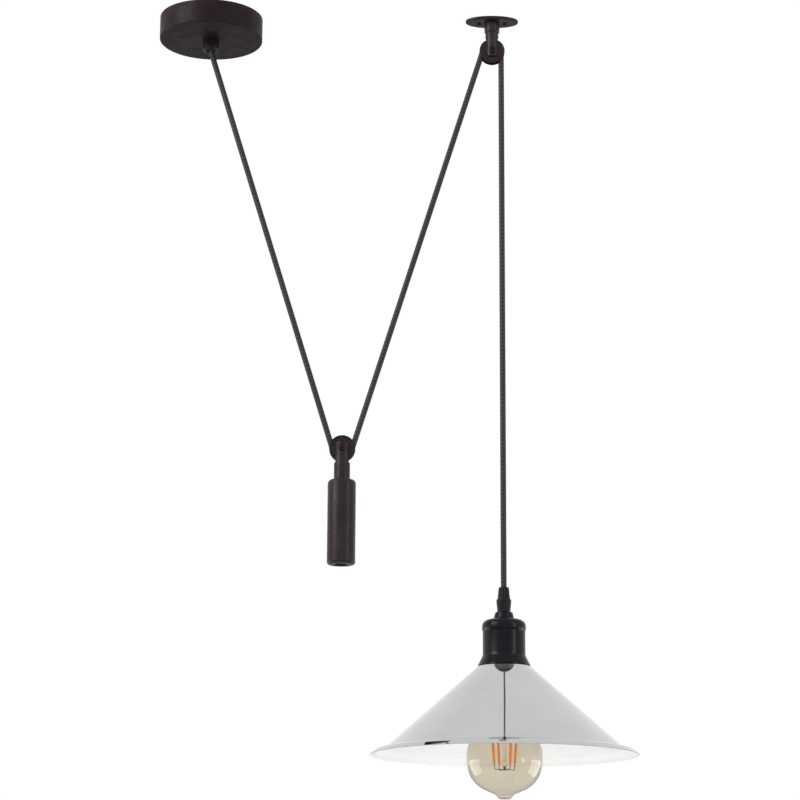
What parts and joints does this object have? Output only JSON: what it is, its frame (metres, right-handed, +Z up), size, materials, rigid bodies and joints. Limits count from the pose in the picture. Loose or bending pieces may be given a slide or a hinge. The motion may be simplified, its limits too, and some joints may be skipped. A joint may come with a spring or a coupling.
{
  "type": "rise and fall pendant",
  "caption": "Ceiling pendant whose cone shade hangs on a flex over pulleys, with a turned bar counterweight that rises as the lamp falls.",
  "frame": {"origin": "centre of the canopy's ceiling bracket, on the ceiling plane", "axes": "+Z up, +X from the canopy towards the ceiling pulley, +Y away from the pictured side"},
  "size_m": [0.4834, 0.26, 0.7993],
  "materials": {
    "dark_paint": "satin",
    "blue_black": "satin",
    "polished_shade": "polished",
    "braid": "matte",
    "black_plastic": "matte",
    "brown_phenolic": "gloss",
    "white_ceramic": "satin",
    "clear_nylon": "satin",
    "zinc_steel": "satin",
    "black_steel": "satin",
    "brass": "satin",
    "cap_metal": "satin",
    "amber_glass": "polished",
    "stem_glass": "polished",
    "black_glass": "gloss",
    "filament_coat": "matte",
    "nickel_wire": "satin",
    "brown_sleeve": "satin",
    "blue_sleeve": "satin",
    "green_sleeve": "satin"
  },
  "bodies": {
    "ceiling_side": {"ceiling_bracket": "zinc_steel", "canopy_cup": "dark_paint", "canopy_side_screws": "black_steel", "canopy_grip_body": "black_plastic", "canopy_grip_nut": "black_plastic", "canopy_grip_screw": "clear_nylon", "terminal_block": "clear_nylon", "terminal_barrels": "brass", "terminal_screws": "zinc_steel", "terminal_block_screw": "zinc_steel", "canopy_live_wire": "brown_sleeve", "canopy_neutral_wire": "blue_sleeve", "canopy_earth_wire": "green_sleeve", "pulley_plate": "dark_paint", "pulley_plate_screw": "zinc_steel", "pulley_hanger": "dark_paint", "hanger_axle_bolt": "black_steel", "hanger_axle_nut": "black_steel", "flex_left_leg": "braid", "flex_right_leg": "braid", "flex_drop": "braid"},
    "ceiling_sheave": {"ceiling_sheave_wheel": "dark_paint", "ceiling_sheave_bush": "brass"},
    "trolley": {"weight_axle_bolt": "black_steel", "weight_axle_nut": "black_steel"},
    "lower_sheave": {"weight_sheave_wheel": "dark_paint", "weight_sheave_bush": "brass"},
    "weight": {"weight_fork": "dark_paint", "weight_stud": "zinc_steel", "counterweight": "dark_paint"},
    "lamp": {"lamp_grip_cap": "black_plastic", "lamp_grip_collet": "clear_nylon", "lamp_grip_base": "black_plastic", "hollow_nipple": "zinc_steel", "lamp_cup": "blue_black", "lampholder_dome": "brown_phenolic", "earth_tag": "brass", "nipple_nut": "zinc_steel", "lampholder_body": "brown_phenolic", "contact_block": "white_ceramic", "screw_shell": "brass", "centre_contact": "brass", "lampholder_terminals": "brass", "lampholder_terminal_screws": "zinc_steel", "lamp_live_wire": "brown_sleeve", "lamp_neutral_wire": "blue_sleeve", "lamp_earth_wire": "green_sleeve", "shade": "polished_shade", "shade_ring": "brown_phenolic", "bulb_contact": "cap_metal", "bulb_cap_insulator": "black_glass", "bulb_cap": "cap_metal", "bulb_glass": "amber_glass", "bulb_stem": "stem_glass", "bulb_filaments": "filament_coat", "bulb_support_wires": "nickel_wire"}
  },
  "joints": [
    {"name": "lamp_rise", "type": "slide", "parent": "ceiling_side", "child": "lamp", "axis": [0, 0, 1], "range_m": [-0.3, 0.22], "deforming": ["flex_drop"]},
    {"name": "weight_travel", "type": "slide", "parent": "ceiling_side", "child": "trolley", "axis": [0, 0, 1], "range_m": [-0.1155, 0.1575], "deforming": ["flex_left_leg", "flex_right_leg"]},
    {"name": "ceiling_sheave_spin", "type": "hinge", "parent": "ceiling_side", "child": "ceiling_sheave", "pos_m": [0.291, 0, -0.0345], "axis": [0, 1, 0], "range_deg": [-1345, 1832]},
    {"name": "lower_sheave_spin", "type": "hinge", "parent": "trolley", "child": "lower_sheave", "pos_m": [0.1405, 0, -0.4555], "axis": [0, 1, 0], "range_deg": [-918, 674]},
    {"name": "weight_swing", "type": "hinge", "parent": "trolley", "child": "weight", "pos_m": [0.1405, 0, -0.4555], "axis": [0, 1, 0], "range_deg": [-12, 12]}
  ],
  "couplings": [
    {"joint": "weight_travel", "follows": "lamp_rise", "ratio": -0.52358},
    {"joint": "ceiling_sheave_spin", "follows": "lamp_rise", "rad_per_m": -106.38},
    {"joint": "lower_sheave_spin", "follows": "lamp_rise", "rad_per_m": 53.191}
  ]
}
